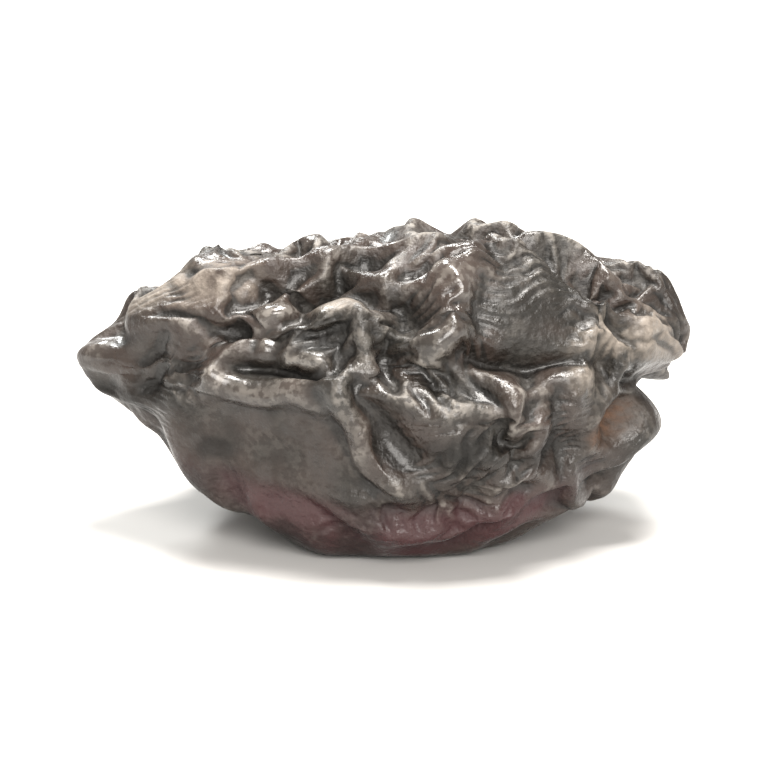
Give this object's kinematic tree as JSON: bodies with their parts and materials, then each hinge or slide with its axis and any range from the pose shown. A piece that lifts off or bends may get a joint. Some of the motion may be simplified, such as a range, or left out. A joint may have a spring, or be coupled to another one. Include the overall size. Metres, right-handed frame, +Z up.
{
  "type": "black raisin",
  "caption": "Dried black grape: almond-shaped food with deeply wrinkled skin, a pointed end, a stalk scar at the other end and a small flat spot to rest on.",
  "frame": {"origin": "under the middle of the bounding box, on the surface that the raisin lies on", "axes": "+X along the length towards the stalk end, -Y towards the side that the picture shows, +Z up"},
  "size_m": [0.016, 0.0094, 0.0084],
  "materials": {
    "skin": "dark wrinkled fruit skin, satin with a thin pale bloom on the crests"
  },
  "bodies": {
    "root": {"raisin": "skin"}
  },
  "joints": []
}
